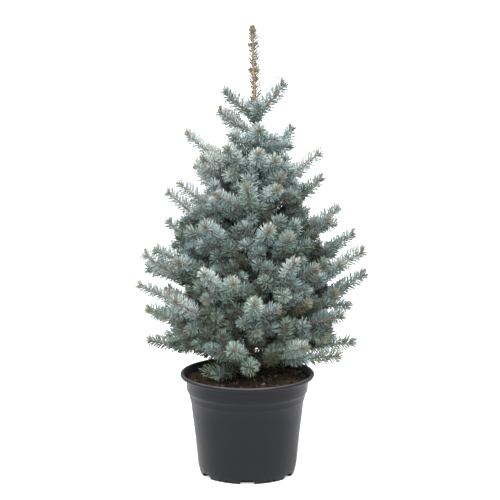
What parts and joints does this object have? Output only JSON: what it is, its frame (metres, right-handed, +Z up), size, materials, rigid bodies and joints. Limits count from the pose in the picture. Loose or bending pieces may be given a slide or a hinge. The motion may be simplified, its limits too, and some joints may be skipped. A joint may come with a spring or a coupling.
{
  "type": "potted blue spruce",
  "caption": "Young blue spruce in a round black nursery pot: one upright trunk with a bare-topped leader, tiers of limbs and a dense cone of blue-green needle sprays.",
  "frame": {"origin": "The middle of the pot's flat underside.", "axes": "+Z is up along the trunk, -Y is the plant's front, and +X is to the right as seen from the front."},
  "size_m": [0.4601, 0.4212, 0.876],
  "materials": {
    "pot": "black moulded plastic with a soft sheen",
    "soil": "dark moist bark compost, rough",
    "bark": "grey-brown to orange-brown bark, rough",
    "needles": "blue-green needles with a pale bloom, dull"
  },
  "bodies": {
    "root": {"pot": "pot", "soil": "soil", "trunk": "bark", "foliage_tier1_left": "needles", "foliage_tier1_right": "needles", "foliage_tier1_front_right": "needles", "foliage_tier1_back": "needles", "foliage_tier2_left": "needles", "foliage_tier2_right": "needles", "foliage_tier2_front": "needles", "foliage_tier2_back": "needles", "foliage_tier2_front_left": "needles", "foliage_tier3_left": "needles", "foliage_tier3_back_right": "needles", "foliage_tier3_front_left": "needles", "foliage_tier3_front_right": "needles", "foliage_tier4_right": "needles", "foliage_tier4_back_left": "needles", "foliage_tier4_back": "needles", "foliage_tier4_front_right": "needles", "foliage_tier5_left": "needles", "foliage_tier5_front": "needles", "foliage_tier5_right": "needles", "foliage_tier5_back_left": "needles", "foliage_tier6_left": "needles", "foliage_tier6_front_left": "needles", "foliage_tier6_front": "needles", "foliage_tier6_right": "needles", "foliage_tier6_back": "needles", "foliage_tier7_back_left": "needles", "foliage_tier7_left": "needles", "foliage_tier7_front_right": "needles", "foliage_tier7_right": "needles", "foliage_tier7_back_right": "needles", "bough_tier8_left": "bark", "foliage_tier8_left": "needles", "bough_tier8_front_left": "bark", "foliage_tier8_front_left": "needles", "bough_tier8_front_right": "bark", "foliage_tier8_front_right": "needles", "foliage_tier8_right": "needles", "foliage_tier8_back": "needles", "bough_tier9_left": "bark", "foliage_tier9_left": "needles", "bough_tier9_front_left": "bark", "foliage_tier9_front_left": "needles", "foliage_tier9_front": "needles", "foliage_tier9_right": "needles", "foliage_tier9_front_right": "needles", "foliage_tier9_back_right": "needles", "foliage_tier10_left": "needles", "foliage_tier10_front": "needles", "foliage_tier10_right": "needles", "foliage_tier10_back_left": "needles", "foliage_tier10_front_right": "needles", "foliage_tier10_front_left": "needles", "foliage_tier11_front": "needles", "foliage_tier11_front_left": "needles", "foliage_tier11_back_right": "needles", "foliage_tier11_right": "needles"}
  },
  "joints": []
}
